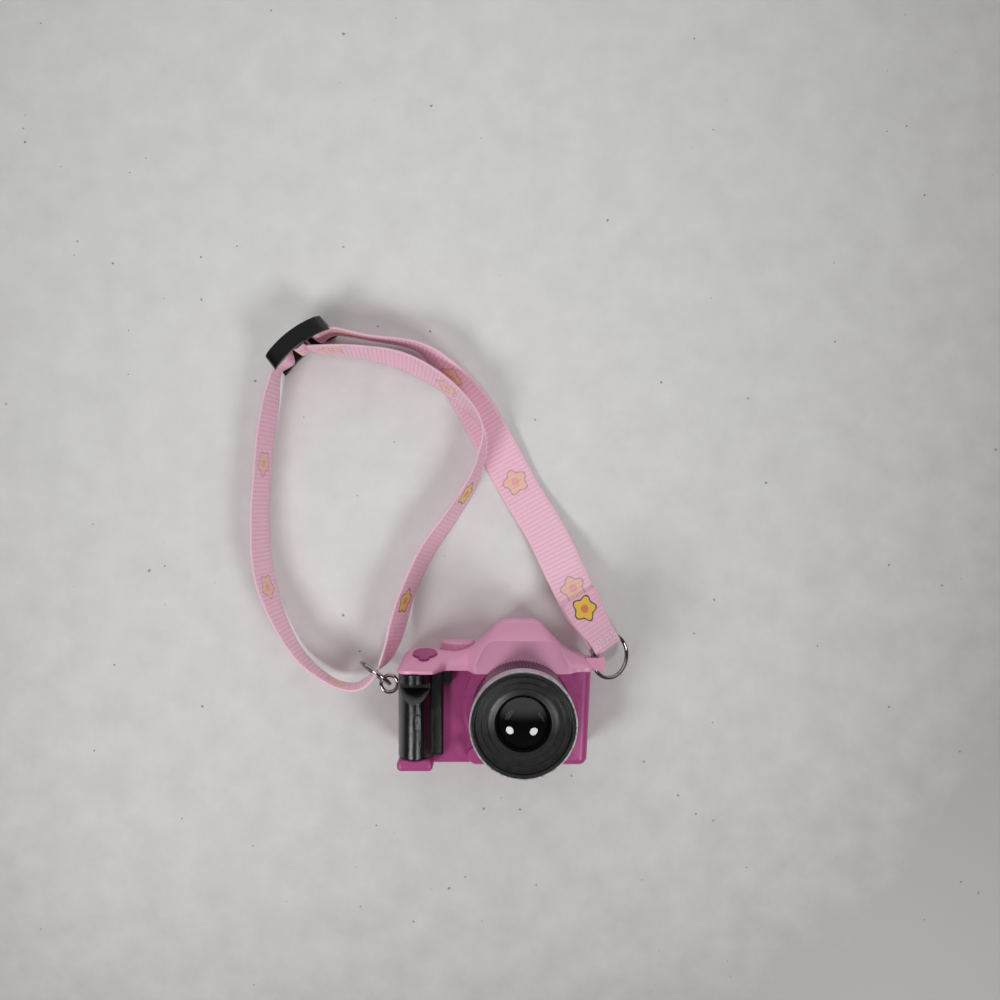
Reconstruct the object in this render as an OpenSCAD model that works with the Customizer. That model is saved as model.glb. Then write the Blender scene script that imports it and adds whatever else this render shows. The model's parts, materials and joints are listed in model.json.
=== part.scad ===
// Pocket toy camera on a webbing lanyard, lying on its back with the lens up.
// +Z points out of the lens, +Y to the top of the camera, the back face is at z = 0.
// The origin is where the lens axis meets the back face.

/* [Body] */
// Lens axis to the grip-side wall
grip_side = 29.6; // [28:0.1:32]
// Lens axis to the far wall, at the seam
far_side = 16.75; // [16:0.05:19]
// How much the far wall leans in at the base
far_lean = 1.1; // [0:0.1:2]
// Lens axis to the base
base_drop = 14.1; // [13:0.1:16]
// Lens axis to the seam under the top cover
seam_rise = 8.3; // [7.5:0.1:9.5]
// Wall thickness of the mouldings
wall = 1.6; // [1.2:0.1:1.9]
// Back face to the parting line between front shell and rear cover
parting = 7; // [6.5:0.1:8]
// Back face to the front of the far shoulder
shoulder_front = 17; // [16:0.1:18]
// Back face to the front of the lens block
block_front = 20; // [19.5:0.1:21.5]
// Back face to the floor of the hollow beside the grip
hollow_front = 13; // [12.5:0.1:14]
// Radius of the round part of the lens block
block_r = 13.9; // [13.3:0.1:14.5]
// Corner rounding of the casings
corner_r = 2; // [1:0.1:2.5]

/* [Top cover] */
// Seam to the flat of the prism roof
prism_rise = 11.6; // [10:0.1:13]
// Half width of the prism roof
roof_half = 4.4; // [3.6:0.1:5.2]
// Half width of the prism where it meets the seam
prism_foot = 11.5; // [11:0.1:12.2]
// Seam to the top of the deck over the grip
deck_rise = 4.2; // [3.8:0.1:5]
// Seam to the saddle that carries the dial
saddle_rise = 4.1; // [3.6:0.1:4.4]
// Depth of the face under the brow
brow_depth = 0.2; // [0.1:0.1:1]

/* [Controls] */
// Lens axis to the middle of the shutter button
button_x = 23.4; // [23:0.1:24.5]
// Back face to the middle of the shutter button
button_z = 11.3; // [10.8:0.1:12]
// Width of the shutter button
button_w = 5.8; // [5:0.1:6.4]
// Depth of the shutter button
button_d = 5.4; // [4.6:0.1:5.6]
// How far the shutter button travels
button_travel = 0.6; // [0.3:0.1:0.8]
// Lens axis to the middle of the dial
dial_x = 15.7; // [15.5:0.1:15.9]
// Back face to the middle of the dial
dial_z = 6; // [5.5:0.1:7]
// Diameter of the dial
dial_d = 8.2; // [7:0.1:8.3]
// Height of the dial
dial_h = 2.2; // [1.8:0.1:3]
// Ribs round the dial
dial_ribs = 36; // [24:1:48]

/* [Lens] */
// Back face to the rim of the lens
lens_front = 37.2; // [36:0.1:42]
// Outer diameter of the lens
lens_d = 23.4; // [21:0.1:24]
// Length of the front bezel and the bright ring round it
bezel_len = 4.4; // [3.5:0.1:6]
// Height of the bezel's rim in front of the bright ring
rim_h = 0.4; // [0.3:0.1:0.6]
// Ribs round the lens barrel
barrel_ribs = 90; // [60:2:110]
// Diameter of the clear dome
dome_d = 11.6; // [10:0.1:13]
// Height of the clear dome above its rim
dome_h = 2; // [1.5:0.1:2.2]
// Diameter of the lamp
led_d = 5; // [3:0.1:5.6]

/* [Strap] */
// Width of the webbing
web_w = 10; // [9:0.1:10.4]
// Thickness of the webbing
web_t = 0.5; // [0.4:0.05:0.6]
// Outer diameter of the far ring
far_ring_d = 11.7; // [11.4:0.1:12.4]
// Outer diameter of the grip-side ring
grip_ring_d = 9.5; // [9.2:0.1:10.2]
// Wire of both rings
ring_wire = 1; // [0.8:0.05:1.1]
// Length of the slider
slider_l = 16.6; // [16:0.1:19]
// Thickness of the slider
slider_t = 2.4; // [2:0.1:2.8]
// Depth of the slider's two rails
rail_t = 4; // [3:0.1:5]

/* [Fits] */
// Gap round pieces that slide or turn
run_gap = 0.08; // [0.05:0.01:0.1]
// Gap round pieces that are only laid in
seat_gap = 0.15; // [0.1:0.01:0.2]

/* [Hidden] */
$fn = 64;

pale_pink = "#e3a3c4";
deep_pink = "#a8387c";
soft_black = "#1d1e22";
steel = "#b9b6b6";

// Casing levels
prism_top = seam_rise + prism_rise;
deck_top = seam_rise + deck_rise;
saddle_top = seam_rise + saddle_rise;
dial_base = saddle_top - 0.3;
deck_front = block_front + 0.4;
grip_front = block_front + 1;
grip_right = 18.7;
grip_step = 21.1;
foot_h = 2.4;
foot_drop = base_drop + 0.4;
cavity_base = wall - base_drop;
cavity_left = wall - grip_side;
cavity_right = far_side - far_lean - wall;
hollow_left = 19.2;
pad_left = grip_side - 2.4;
pad_right = 20.3;
pad_front = hollow_front + 2;
pad_wall = 0.6;
pad_rim = 1;
rest_w = 1.9;
rest_h = 2.7;
hump_r = 4.2;
hump_z = hollow_front + 1.5;
ledge_z = hollow_front + 3.4;
roof_z = block_front - wall;

// Inner pieces
board_t = 1;
board_z = 9.8;
board_top = 6.4;
cell_d = 7.9;
cell_h = 3.6;
cell_count = 3;
cell_x = 1.7;
cell_y = -4.2;
contact_t = 0.3;
contact_w = 5.2;
door_t = 1.4;
door_x = [0.4, 13.4];
door_y = [-8.6, 3.7];
cell_z = door_t + 0.2 + cell_d / 2;
speaker_d = 14;
speaker_h = 4;
speaker_x = -8.6;
speaker_y = -3.2;
switch_w = 4.4;
switch_t = 2.8;
switch_h = 3.4;
plunger_r = 0.7;
plunger_h = 1.6;
stem_r = 1.2;
push_r = 0.75;
switch_top = board_top + 0.6;
switch_z = board_z + board_t;
switch_mid = switch_z + switch_t / 2;
button_tilt = 12.7;
button_rise = 0.5;
flange_out = 0.4;
screw_r = 0.8;
screw_head_r = 1.7;
screw_head_h = 1.2;
boss_r = 1.9;
screw_len = 10.4;
screw_spots = [[-grip_side + 3.6, -base_drop + 3.6], [far_side - 4.1, -base_drop + 2.9],
    [far_side - 3.6, seam_rise - 2.6], [-dial_x - 2.4, seam_rise - 2.6]];
post_x = [-8, 7];
door_spot = [(door_x[0] + door_x[1]) / 2, 1.9];

// Lens levels
lens_r = lens_d / 2;
bezel_z = lens_front - bezel_len;
band_z = bezel_z - 0.2;
band_len = lens_front - rim_h - band_z;
band_t = 0.8;
band_out = 0.2;
rim_r = lens_r - 0.15;
spigot_r = lens_r - 1.9;
neck_r = 9.6;
neck_z = roof_z - wall;
dome_r = dome_d / 2;
spigot_top = bezel_z + 1.2;
dome_foot = spigot_top + 0.05;
dome_z = dome_foot + 0.6;
barrel_bore = dome_r - 0.3;
dome_edge = 0.8;
led_r = led_d / 2;
led_flange = 1;
led_len = 6.1;
lamp_gap = 3.85;
led_z = dome_foot - lamp_gap - led_r - led_len;
leg_r = 0.25;
leg_gap = 1.27;

// Rings and strap levels
lug_x = far_side + 1;
lug_y = seam_rise + 1.1;
lug_z = 10;
lug_w = 3;
lug_end = 2.7;
lug_h = 4.2;
lug_bore = ring_wire / 2 + 0.45;
lug_flare = lug_bore + 0.55;
wire_r = ring_wire / 2;
far_ring_r = far_ring_d / 2 - wire_r;
far_ring_tilt = 33;
far_ring_shift = 1.2;
far_ring_reach = sqrt(far_ring_r * far_ring_r - far_ring_shift * far_ring_shift);
grip_ring_r = grip_ring_d / 2 - wire_r;
grip_ring_turn = 143;
grip_ring_tilt = 15;
eye_r = 2.05;
eye_wire = 0.45;
eye_x = -grip_side - eye_r - eye_wire - 0.1;
eye_y = 4.3;
eye_z = 10;
shank_len = 2.2;
hollow = [8, 3, 4, 13];
hump_mid = 9;
hump_hollow_r = 4;
hump_hollow_h = 7;
nub_at = [-11, -11];
nub_r = 1.7;
nub_h = 1.2;
slider_at = [-54.7, 88];
slider_turn = 37.3;
slider_h = web_w + 3.6;
slider_edge = 1.3;
slider_bow = 1.35;
bar_half = 1.2;
slot_half = 4.6;
web_lift = (slider_h - web_w) / 2;

function mix(a, b, t) = a + (b - a) * t;
function arc(cx, cy, r, from, to, n) = [for (i = [0:n]) let (a = mix(from, to, i / n)) [cx + r * cos(a), cy + r * sin(a)]];
function unit(v) = v / norm(v);

// Skin of a loft: rows of equally many points, closed by a cap at each end
module loft(rows) {
    n = len(rows[0]);
    last = len(rows) - 1;
    skin = [for (i = [0:last - 1], j = [0:n - 1]) let (k = (j + 1) % n)
        each [[i * n + j, i * n + k, (i + 1) * n + k], [i * n + j, (i + 1) * n + k, (i + 1) * n + j]]];
    first_cap = [for (j = [n - 1:-1:0]) j];
    last_cap = [for (j = [0:n - 1]) last * n + j];
    polyhedron([for (row = rows, p = row) p], concat([first_cap], skin, [last_cap]));
}

module stadium(w, d) {
    square([w - d, d], center = true);
    for (side = [-1, 1]) translate([side * (w - d) / 2, 0]) circle(d / 2);
}

// Things standing along +Y, drawn in their own plan
module upright(x, y, z) { translate([x, y, z]) rotate([-90, 0, 0]) children(); }

// Plate from z0 to z1 with round corners and a round front edge, or a round back edge when flipped
module rounded_plate(x0, x1, lean, y0, y1, z0, z1, r, flip = false) {
    spots = [[x0 + r, y0 + r], [x1 - lean - r, y0 + r], [x1 - r, y1 - r], [x0 + r, y1 - r]];
    hull() for (p = spots) {
        translate([p[0], p[1], flip ? z0 + r : z1 - r]) sphere(r, $fn = 24);
        translate([p[0], p[1], flip ? z1 - 1 : z0]) cylinder(r = r, h = 1, $fn = 24);
    }
}

// Sections of the top cover, from the grip side to the far side
crest = [[-grip_side, deck_top - 0.2], [-button_x, deck_top], [-dial_x, saddle_top], [-prism_foot - 1.7, saddle_top + 0.5],
    [-prism_foot + 0.3, saddle_top + 1.7], [-roof_half - 4.4, prism_top - 3.8], [-roof_half - 2.1, prism_top - 1.5],
    [-roof_half, prism_top - 0.2], [-roof_half + 1.2, prism_top], [roof_half - 0.5, prism_top],
    [roof_half + 1, prism_top - 0.9], [roof_half + 2.6, prism_top - 2.9], [roof_half + 4.4, prism_top - 4.7],
    [roof_half + 6.3, prism_top - 6.7], [prism_foot + 1.2, seam_rise + 3.9], [far_side - 1.7, seam_rise + 2.8],
    [far_side, seam_rise + 2.2]];
nose = [[-grip_side, deck_front], [-hollow_left - 1.6, deck_front], [-hollow_left + 0.6, hollow_front + 2],
    [-prism_foot - 1, hollow_front + 2], [-prism_foot, block_front], [prism_foot, block_front],
    [prism_foot + 1.4, shoulder_front], [far_side, shoulder_front]];
crease = [[-prism_foot - 0.6, seam_rise + 0.8], [-prism_foot, seam_rise + 0.6], [-prism_foot + 1, seam_rise + 3],
    [-prism_foot + 2.5, seam_rise + 6.2], [-prism_foot + 3.9, prism_top - 3.8], [prism_foot - 3.9, prism_top - 3.8],
    [prism_foot - 2.5, seam_rise + 6.2], [prism_foot - 1, seam_rise + 3], [prism_foot, seam_rise + 0.6],
    [prism_foot + 1, seam_rise + 0.9]];
ridge = [[-grip_side, 7], [-hollow_left - 1, 7.5], [-hollow_left + 2, 10.5], [-prism_foot - 1, 10.5],
    [-roof_half - 2, 15], [roof_half + 1.5, 15], [prism_foot, 10.5], [far_side, 10]];
curve = [[-hollow_left - 1, 1.15], [-hollow_left + 1, 2], [-prism_foot, 1.7], [-roof_half - 2, 1.25], [roof_half + 1.5, 1.25],
    [prism_foot, 1.5], [far_side, 2]];
brow = [[-prism_foot, 0], [-prism_foot + 1.6, brow_depth], [prism_foot - 1.6, brow_depth], [prism_foot, 0]];
draft = 0.08;
end_len = [4, 1.6];
end_dip = [3, 1.2];

function soft(x, table, reach = 0.5) = (lookup(x - reach, table) + 2 * lookup(x, table) + lookup(x + reach, table)) / 4;
function dip(x, len, drop) = x >= len ? 0 : drop * (1 - sqrt(1 - pow(1 - x / len, 2)));
function end_inset(x) = dip(x + grip_side, end_len[0], end_dip[0]) + dip(far_side - x, end_len[1], end_dip[1]);
function cover_row(x) =
    let (inset = end_inset(x), top = soft(x, crest, 1) - inset, front = soft(x, nose) - inset,
        fold = min(soft(x, crease, 1), top - 0.6), ridge_z = min(soft(x, ridge, 1.5), front - 2),
        lip = min(1.5, (fold - seam_rise) / 2),
        power = 2 / soft(x, curve), recess = draft + soft(x, brow), back = inset * 0.4, r = min(corner_r, top - seam_rise - 0.5))
    concat([[x, seam_rise, back], [x, top - r - 0.3, back]],
        [for (i = [1:4]) let (a = 90 * i / 4) [x, top - 0.3 - r + r * sin(a), back + r - r * cos(a)]],
        [[x, top, ridge_z]],
        [for (i = [1:7]) let (a = 90 * i / 8) [x, fold + (top - fold) * pow(cos(a), power), ridge_z + (front - ridge_z) * pow(sin(a), power)]],
        [[x, fold, front], [x, fold - lip, front - recess], [x, seam_rise, front - draft]]);

module button_plan(extra) {
    tab_r = 1.2;
    stadium(button_w + 2 * extra, button_d + 2 * extra);
    translate([0, -button_d / 2 - tab_r / 3]) circle(tab_r + extra);
}

module lug_bar() {
    low = lug_y - lug_w / 2;
    translate([far_side - 1, seam_rise, lug_z - lug_h / 2]) cube([2, low + lug_w - seam_rise, lug_h]);
    upright(0, low, lug_z) linear_extrude(height = lug_w)
        polygon(casing_outline(far_side + seat_gap, lug_x + lug_end, 0, -lug_h / 2, lug_h / 2, 0.9));
}

// Hole in the lug, opened out at both ends so that the ring can swing
module lug_hole() {
    flare_h = lug_w / 4;
    upright(lug_x, lug_y - lug_w, lug_z) cylinder(r = lug_bore, h = 2 * lug_w);
    upright(lug_x, lug_y - lug_w / 2 - 0.01, lug_z) cylinder(r1 = lug_flare, r2 = lug_bore, h = flare_h);
    upright(lug_x, lug_y + lug_w / 2 - flare_h + 0.01, lug_z) cylinder(r1 = lug_bore, r2 = lug_flare, h = flare_h);
}

module top_cover() {
    steps = 64;
    pocket = [button_w / 2 + flange_out + 0.1, button_d / 2 + flange_out + 0.3];
    pocket_back = min(button_z - pocket[1], switch_mid - push_r - 0.4);
    pocket_front = max(button_z + pocket[1], switch_mid + push_r + 0.4);
    color(pale_pink) difference() {
        union() {
            loft([for (i = [0:steps]) cover_row(mix(far_side, -grip_side, i / steps))]);
            lug_bar();
        }
        lug_hole();
        upright(-button_x, seam_rise + 1.5 - button_travel, button_z) linear_extrude(height = deck_rise + 1) button_plan(run_gap);
        translate([-button_x - pocket[0], seam_rise - 1, pocket_back]) cube([2 * pocket[0], 2.8, pocket_front - pocket_back]);
        upright(-dial_x, seam_rise + 1, dial_z) cylinder(r = stem_r + run_gap, h = saddle_rise);
        upright(-dial_x, dial_base - 2 * seat_gap, dial_z) cylinder(r = dial_d / 2 + 2 * seat_gap, h = prism_rise);
        translate([-hollow[0], seam_rise - 1, hollow[1]]) cube([2 * hollow[0], hollow[2] + 1, hollow[3]]);
        upright(0, seam_rise - 2, hump_mid) cylinder(r = hump_hollow_r, h = hump_hollow_h + 2);
        translate([0, 0, neck_z - 1]) cylinder(r = neck_r + seat_gap, h = lens_front);
    }
}

// Outline with round corners; the far wall leans in at the base
function casing_outline(x0, x1, lean, y0, y1, r) = concat(
    arc(x0 + r, y0 + r, r, 180, 270, 6), arc(x1 - lean - r, y0 + r, r, 270, 360, 6),
    arc(x1 - r, y1 - r, r, 0, 90, 6), arc(x0 + r, y1 - r, r, 90, 180, 6));

module above_seam() { translate([-2 * grip_side, seam_rise, -1]) cube([4 * grip_side, 20, 2 * lens_front]); }

module lens_block() {
    bevel = 0.7;
    rotate_extrude() polygon([[0, parting], [block_r, parting], [block_r, block_front - bevel],
        [block_r - bevel, block_front], [0, block_front]]);
    translate([0, 0, parting]) linear_extrude(height = block_front - parting) polygon([[-prism_foot, seam_rise + 1],
        [-prism_foot, seam_rise], [-block_r + 0.3, 3], [block_r - 0.3, 3], [prism_foot, seam_rise], [prism_foot, seam_rise + 1]]);
}

module front_cavity() {
    low = parting - 1;
    tall = seam_rise + 1;
    main_left = prism_foot - 0.3;
    mid_left = hollow_left - 1.5;
    grip_drop = 6.4;
    translate([-main_left, cavity_base, low]) cube([main_left + cavity_right, tall - cavity_base, shoulder_front - wall - low]);
    translate([-mid_left, cavity_base, low]) cube([mid_left - main_left + 1, tall - cavity_base, hollow_front - wall - low]);
    translate([-pad_right - pad_wall - 1, -grip_drop, low]) cube([pad_right + pad_wall - mid_left + 2, tall + grip_drop, hollow_front - wall - low]);
    translate([-pad_left + pad_wall, -grip_drop, low]) cube([pad_left - pad_right - 2 * pad_wall, tall + grip_drop, pad_front - wall + 0.5 - low]);
}

// Raised pad that the grip panel fits over
module grip_pad(grow) {
    low = -base_drop + foot_h + pad_rim;
    translate([-pad_left - grow, low - grow, hollow_front - pad_rim])
        cube([pad_left - pad_right + 2 * grow, seam_rise - pad_rim - low + 2 * grow, pad_front - hollow_front + pad_rim + grow]);
}

module front_shell() {
    color(deep_pink) difference() {
        union() {
            difference() {
                union() {
                    translate([0, 0, parting]) linear_extrude(height = hollow_front - parting)
                        polygon(casing_outline(-grip_side, 0, 0, -base_drop, seam_rise + 2 * corner_r, corner_r));
                    rounded_plate(-prism_foot - 1.2, far_side, far_lean, -base_drop, seam_rise + 2 * corner_r, parting, shoulder_front, corner_r);
                    lens_block();
                    rounded_plate(-grip_side + 0.2, -grip_step + 0.2, 0, -foot_drop, -base_drop + foot_h, parting, grip_front - 0.3, 1.1);
                    grip_pad(0);
                    translate([nub_at[0], nub_at[1], shoulder_front - 1]) cylinder(r = nub_r, h = nub_h + 1);
                }
                front_cavity();
            }
            for (p = screw_spots) translate([p[0], p[1], parting]) cylinder(r = boss_r, h = 5);
            for (x = post_x) translate([x, cavity_base + 2.4, board_z + board_t]) cylinder(r = boss_r - 0.4, h = shoulder_front - board_z - 2);
        }
        above_seam();
        translate([0, 0, shoulder_front - wall - 1]) cylinder(r = neck_r + seat_gap, h = block_front - shoulder_front + wall + 2);
        for (p = screw_spots) translate([p[0], p[1], parting - 1]) cylinder(r = screw_r + run_gap, h = 5);
        translate([-grip_side - 1, eye_y, eye_z]) rotate([0, 90, 0]) cylinder(r = eye_wire + run_gap, h = shank_len + 1.2);
    }
}

module battery_box(grow, z0, z1) {
    translate([cell_x - contact_t - 0.2 - grow, cell_y - cell_d / 2 - seat_gap - grow, z0])
        cube([cell_count * cell_h + 2 * contact_t + 0.4 + 2 * grow, cell_d + 2 * seat_gap + 2 * grow, z1 - z0]);
}

module door_plan(grow) {
    translate([door_x[0] - grow, door_y[0] - grow]) square([door_x[1] - door_x[0] + 2 * grow, door_y[1] - door_y[0] + 2 * grow]);
}

module rear_cover() {
    box_top = min(cell_z + 1.5, parting - 0.1);
    color(deep_pink) difference() {
        union() {
            difference() {
                rounded_plate(-grip_side, far_side, far_lean, -base_drop, seam_rise + 2 * corner_r, 0, parting, corner_r, flip = true);
                translate([cavity_left, cavity_base, wall])
                    cube([cavity_right - cavity_left, seam_rise - cavity_base + 1, parting]);
            }
            for (p = screw_spots) translate([p[0], p[1], 0.6]) cylinder(r = boss_r + 0.3, h = parting - 0.6);
            battery_box(1, door_t, box_top);
            translate([door_spot[0], door_spot[1], door_t]) cylinder(r = boss_r - 0.2, h = 4.2);
            translate([speaker_x, speaker_y, wall - 0.2]) difference() {
                cylinder(r = speaker_d / 2 + 1, h = 2.2);
                cylinder(r = speaker_d / 2 + seat_gap, h = 4);
            }
        }
        above_seam();
        battery_box(0, -1, box_top + 1);
        translate([0, 0, -1]) linear_extrude(height = door_t + 1) door_plan(seat_gap);
        translate([door_spot[0], door_spot[1], 0]) cylinder(r = screw_r - 0.1 + run_gap, h = 5);
        for (p = screw_spots) {
            translate([p[0], p[1], -1]) cylinder(r = screw_r + run_gap, h = parting + 2);
            translate([p[0], p[1], -1]) cylinder(r = screw_head_r + seat_gap, h = 1 + 0.6 + screw_head_h);
        }
        for (k = [-2:2]) translate([speaker_x, speaker_y + 2 * k, -1]) linear_extrude(height = wall + 2) stadium(9 - abs(k), 0.9);
    }
}

function grip_outline() = concat([[-grip_side + 0.1, hollow_front]],
    [for (i = [0:16]) let (a = 180 - 163 * i / 16) [hump_r * cos(a) - grip_step - hump_r, hump_z + (grip_front - hump_z) * sin(a)]],
    [[-grip_step, ledge_z], [-grip_right - 0.5, ledge_z - 0.3], [-grip_right, ledge_z - 0.8], [-grip_right, hollow_front]]);

module grip_panel() {
    bottom = -base_drop + foot_h + seat_gap;
    top = seam_rise - seat_gap;
    pad = [-24.4, -3];
    scoop = [6, 1.1];
    color(soft_black) difference() {
        union() {
            upright(0, bottom, 0) linear_extrude(height = top - bottom) polygon([for (p = grip_outline()) [p[0], -p[1]]]);
            translate([-grip_right - 0.5, top - rest_h, hollow_front]) cube([rest_w + 0.5, rest_h, ledge_z - 1.2 - hollow_front]);
        }
        grip_pad(seat_gap);
        translate([-2 * grip_side, 0, 0]) rotate([90, 0, 90]) linear_extrude(height = 2 * grip_side)
            polygon([[scoop[0], grip_front + 2], [scoop[0], grip_front - 3], [scoop[0] - 1.2, grip_front - 3.2], [scoop[1], grip_front + 0.1], [scoop[1], grip_front + 2]]);
        translate([pad[0], pad[1], grip_front - 0.45]) rotate(90) linear_extrude(height = 2) difference() {
            stadium(4.1, 2);
            stadium(3.5, 1.4);
        }
    }
}

// Height of the deck at the middle of the button
function deck_under_button() =
    let (row = cover_row(-button_x), near = [for (i = [7:len(row) - 3]) if (row[i][2] <= button_z) i], k = near[len(near) - 1],
        t = (button_z - row[k][2]) / (row[k + 1][2] - row[k][2])) mix(row[k][1], row[k + 1][1], t);

module shutter_button() {
    stem_base = switch_top + plunger_h / 2 + 0.02;
    foot = seam_rise + 1.4;
    color(deep_pink) difference() {
        union() {
            upright(-button_x, foot, button_z) linear_extrude(height = deck_rise) stadium(button_w, button_d);
            upright(-button_x, foot + 0.3, button_z) linear_extrude(height = deck_rise) button_plan(0);
            upright(-button_x, stem_base, switch_mid) cylinder(r = push_r, h = foot + 0.7 - stem_base);
            upright(-button_x, foot - 0.5, button_z) linear_extrude(height = 0.6) stadium(button_w + 2 * flange_out, button_d + 2 * flange_out);
        }
        translate([-button_x, deck_under_button() + button_rise, button_z]) rotate([button_tilt, 0, 0])
            translate([-button_w, 0, -2 * button_d]) cube([2 * button_w, deck_rise, 4 * button_d]);
    }
}

module button_switch() {
    color("#3a3a3e") difference() {
        translate([-button_x - switch_w / 2, switch_top - switch_h, switch_z]) cube([switch_w, switch_h, switch_t]);
        upright(-button_x, switch_top - 2, switch_mid) cylinder(r = plunger_r + run_gap, h = 3);
    }
}

module switch_plunger() {
    color("#d8d4c8") upright(-button_x, switch_top - plunger_h / 2, switch_mid) cylinder(r = plunger_r, h = plunger_h);
}

function ribbed(r, depth, ribs) = [for (i = [0:4 * ribs - 1]) let (a = 90 * i / ribs, h = i % 4 < 2 ? r : r - depth) [h * cos(a), h * sin(a)]];

module mode_dial() {
    r = dial_d / 2;
    cap = 0.5;
    color(pale_pink) {
        upright(-dial_x, dial_base, dial_z) intersection() {
            linear_extrude(height = dial_h) polygon(ribbed(r, 0.22, dial_ribs));
            rotate_extrude() polygon([[0, -1], [r + 1, -1], [r + 1, dial_h - cap - 1], [r - cap - 1, dial_h + 1], [0, dial_h + 1]]);
        }
        upright(-dial_x, seam_rise + 1.4, dial_z) cylinder(r = stem_r, h = dial_base - seam_rise - 1.3);
    }
}

module lens_barrel() {
    ring_back = block_front + seat_gap / 3;
    lamp_run = max(0.1, led_z + led_flange - block_front + 2.01);
    color(soft_black) difference() {
        union() {
            translate([0, 0, ring_back]) linear_extrude(height = band_z - ring_back) polygon(ribbed(lens_r, 0.25, barrel_ribs));
            translate([0, 0, neck_z]) cylinder(r = neck_r, h = ring_back - neck_z + 1);
            translate([0, 0, band_z - 1]) cylinder(r = spigot_r, h = spigot_top - band_z + 1);
        }
        translate([0, 0, led_z + led_flange + 1]) cylinder(r = barrel_bore, h = lens_front);
        translate([0, 0, neck_z - 1]) cylinder(r = barrel_bore, h = block_front + 0.6 - neck_z);
        translate([0, 0, block_front - 2]) cylinder(r = led_r + run_gap, h = lamp_run + 2);
        translate([0, 0, block_front - 2]) cylinder(r = led_r + 0.4 + run_gap, h = lamp_run);
    }
}

module bright_ring() {
    color(steel) translate([0, 0, band_z]) difference() {
        cylinder(r = lens_r + band_out, h = band_len);
        translate([0, 0, -1]) cylinder(r = lens_r - band_t, h = band_len + 2);
    }
}

module front_bezel() {
    cone_r = dome_r + 0.5;
    seat_r = dome_r + dome_edge;
    lip = 0.9;
    rim_z = lens_front - rim_h;
    skirt_r = lens_r - band_t - run_gap;
    color(soft_black) rotate_extrude() polygon([[spigot_r + run_gap, bezel_z], [skirt_r, bezel_z], [skirt_r, rim_z], [rim_r, rim_z],
        [rim_r, lens_front - 0.15], [rim_r - 0.15, lens_front], [lens_r - lip, lens_front], [lens_r - lip - 0.3, lens_front - 1],
        [lens_r - 2.4, lens_front - 1.15], [lens_r - 2.5, lens_front - 1.5], [lens_r - 3.8, lens_front - 1.65],
        [lens_r - 3.9, lens_front - 1.9], [cone_r + 0.6, dome_z + 0.4], [cone_r, dome_z + 0.3], [cone_r, dome_z + seat_gap],
        [seat_r + seat_gap, dome_z + seat_gap], [seat_r + seat_gap, spigot_top + seat_gap],
        [spigot_r + run_gap, spigot_top + seat_gap]]);
}

module lens_dome() {
    ball_r = (dome_r * dome_r + dome_h * dome_h) / (2 * dome_h);
    sweep = asin(dome_r / ball_r);
    rim_r = dome_r + dome_edge;
    color("#2b2530") rotate_extrude() polygon(concat([[0, dome_foot], [rim_r, dome_foot], [rim_r, dome_z]],
        [for (i = [0:11]) let (a = sweep * (1 - i / 12)) [ball_r * sin(a), dome_z + dome_h - ball_r + ball_r * cos(a)]],
        [[0, dome_z + dome_h]]));
}

module led() {
    color("#e9edf2") {
        translate([0, 0, led_z]) cylinder(r = led_r + 0.4, h = led_flange);
        translate([0, 0, led_z]) cylinder(r = led_r, h = led_len);
        translate([0, 0, led_z + led_len]) sphere(led_r);
        for (side = [-1, 1]) translate([side * leg_gap, 0, board_z + 0.2]) cylinder(r = leg_r, h = led_z - board_z);
    }
}

module circuit_board() {
    left = button_x + 3;
    color("#2f6b3c") difference() {
        union() {
            translate([-hollow_left + 2, cavity_base + 1, board_z]) cube([hollow_left - 2 + cavity_right - 0.6, board_top - cavity_base - 1, board_t]);
            translate([-left, -4, board_z]) cube([left - hollow_left + 2.5, board_top + 4, board_t]);
        }
        for (p = screw_spots) translate([p[0], p[1], board_z - 1]) cylinder(r = boss_r + 0.5, h = 4);
        for (side = [-1, 1]) translate([side * leg_gap, 0, board_z - 1]) cylinder(r = leg_r + 0.05, h = 4);
    }
}

module speaker() {
    color("#26262a") {
        translate([speaker_x, speaker_y, wall + 0.05]) cylinder(r = speaker_d / 2, h = speaker_h);
        translate([speaker_x, speaker_y, wall + speaker_h]) cylinder(r = speaker_d / 4, h = 1.2);
    }
}

module battery_cells() {
    color("#c9cbd0") for (i = [0:cell_count - 1]) translate([cell_x + i * cell_h + 0.03, cell_y, cell_z]) rotate([0, 90, 0]) cylinder(r = cell_d / 2, h = cell_h - 0.06);
}

module battery_contacts() {
    color("#d6c27a") for (x = [cell_x - contact_t - 0.05, cell_x + cell_count * cell_h + 0.05])
        translate([x, cell_y - contact_w / 2, door_t + 0.4]) cube([contact_t, contact_w, board_z - door_t - 0.85]);
}

module battery_door() {
    color(deep_pink) difference() {
        linear_extrude(height = door_t - 0.05) door_plan(0);
        translate([door_spot[0], door_spot[1], -1]) cylinder(r = screw_r + run_gap, h = 4);
        translate([door_spot[0], door_spot[1], -1]) cylinder(r = screw_head_r - 0.3 + seat_gap, h = 1 + 0.8);
    }
}

module screw(head_r, shaft_r, head_z, head_h, tip_z) {
    difference() {
        translate([0, 0, head_z]) cylinder(r = head_r, h = head_h);
        for (turn = [0, 90]) rotate(turn) translate([-head_r * 0.6, -0.15, head_z - 1]) cube([head_r * 1.2, 0.3, 1.5]);
    }
    translate([0, 0, head_z + head_h]) cylinder(r = shaft_r, h = tip_z - head_z - head_h);
}

module door_screw() { color(steel) translate([door_spot[0], door_spot[1], 0]) screw(screw_head_r - 0.3, screw_r - 0.1, 0.05, 0.75, 4.8); }

module case_screws() { color(steel) for (p = screw_spots) translate([p[0], p[1], 0]) screw(screw_head_r, screw_r, 0.6, screw_head_h, parting + 3.7); }

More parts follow.
